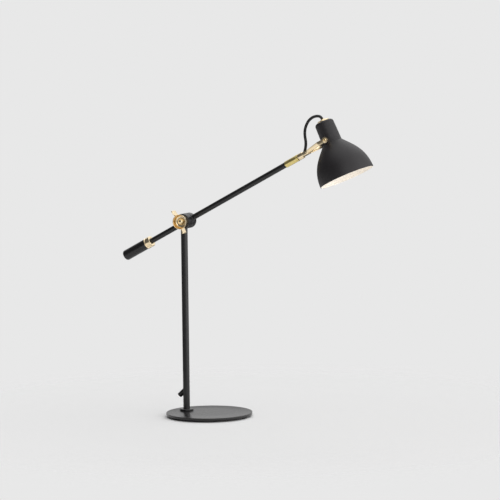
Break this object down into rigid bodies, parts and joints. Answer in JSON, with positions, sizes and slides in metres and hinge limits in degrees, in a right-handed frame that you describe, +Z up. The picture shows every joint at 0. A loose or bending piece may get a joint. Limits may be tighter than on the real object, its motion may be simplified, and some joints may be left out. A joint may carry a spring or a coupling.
{
  "type": "desk lamp",
  "caption": "Balanced-arm desk lamp: round base, upright pole, tilting counterweighted arm with wing nut clamp, swivelling yoke and tilting bell shade.",
  "frame": {"origin": "on the table surface, at the middle of the front foot's lower face, which is midway along the whole lamp; the middle of the round base is 79.3 mm behind it", "axes": "+Z up, +X from the base towards the shade, and the hub's hinge axis along Y with the wing nut on the -Y side"},
  "size_m": [0.5702, 0.18, 0.6346],
  "materials": {
    "black_powder": "satin black powder coat",
    "gloss_black": "smoother black coat on the turned flange",
    "shade_black": "matte black coat outside, white enamel inside",
    "brass": "polished and lacquered brass",
    "steel": "zinc-plated steel",
    "rubber": "matte black rubber",
    "nylon": "black nylon",
    "holder_plastic": "heat-proof white plastic",
    "holder_ceramic": "glazed insert",
    "bulb_metal": "bright rolled cap",
    "bulb_glass": "opal glass",
    "cord_black": "round black sheathed cord"
  },
  "bodies": {
    "stand": {"base_plate": "black_powder", "rubber_feet": "rubber", "foot_collar": "gloss_black", "pole_tube": "black_powder", "pole_insert": "steel", "base_screw": "steel", "cord_outlet": "black_powder", "outlet_bushing": "rubber", "hub_front_block": "black_powder"},
    "arm": {"hub_rear_block": "black_powder", "friction_washer": "nylon", "clamp_stud": "steel", "arm_tube": "black_powder", "counterweight": "black_powder", "weight_collar": "brass", "arm_sleeve": "brass", "swivel_pin": "steel"},
    "clamp_nut": {"wing_nut": "brass", "nut_dome": "brass"},
    "yoke": {"yoke_collar": "brass", "yoke_base": "brass", "fork_bar_near": "brass", "fork_bar_far": "brass", "fork_rivet": "brass", "head_cord": "cord_black"},
    "shade": {"shade_shell": "shade_black", "neck_cap": "brass", "cord_grip": "brass", "grip_locknut": "steel", "lampholder": "holder_plastic", "holder_insert": "holder_ceramic", "bulb_cap": "bulb_metal", "bulb_globe": "bulb_glass", "pivot_bushes": "brass", "pivot_screws": "brass", "pivot_nuts": "steel"}
  },
  "joints": [
    {"name": "arm_tilt", "type": "hinge", "parent": "stand", "child": "arm", "pos_m": [-0.1323, 0, 0.408], "axis": [0, -1, 0], "range_deg": [-55, 48]},
    {"name": "wing_nut_turn", "type": "hinge", "parent": "arm", "child": "clamp_nut", "pos_m": [-0.1323, 0, 0.408], "axis": [0, -1, 0], "range_deg": [0, 180]},
    {"name": "yoke_swivel", "type": "hinge", "parent": "arm", "child": "yoke", "pos_m": [0.12993, 0.017, 0.54743], "axis": [0.8829, 0, 0.4695], "range_deg": [-90, 90]},
    {"name": "shade_tilt", "type": "hinge", "parent": "yoke", "child": "shade", "pos_m": [0.19704, 0.017, 0.58311], "axis": [0, 1, 0], "range_deg": [-68, 22], "deforming": ["head_cord"]}
  ]
}
